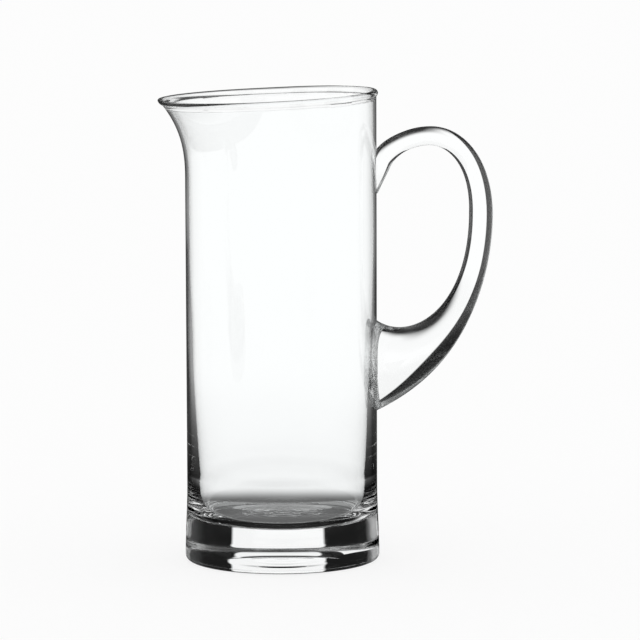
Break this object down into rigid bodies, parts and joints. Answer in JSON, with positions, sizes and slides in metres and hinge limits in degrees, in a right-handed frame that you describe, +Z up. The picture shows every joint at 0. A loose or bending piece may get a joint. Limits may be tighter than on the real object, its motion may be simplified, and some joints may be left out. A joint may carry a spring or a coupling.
{
  "type": "glass pitcher",
  "caption": "Tall cylindrical clear glass pitcher with a heavy solid base, a pulled pouring lip and a solid glass loop handle welded to its wall, for serving water and other cold drinks.",
  "frame": {"origin": "on the table, under the middle of the whole pitcher: midway between the tip of the lip and the back of the handle; the body's own axis stands 21.9 mm from it towards the lip", "axes": "+Z up along the body's axis, +X towards the handle and -X towards the pouring lip, +Y across, square to the plane of lip and handle"},
  "size_m": [0.1654, 0.0966, 0.234],
  "materials": {
    "blown_glass": "fire-polished, clear",
    "handle_glass": "fire-polished, clear"
  },
  "bodies": {
    "root": {"body": "blown_glass", "handle": "handle_glass"}
  },
  "joints": []
}
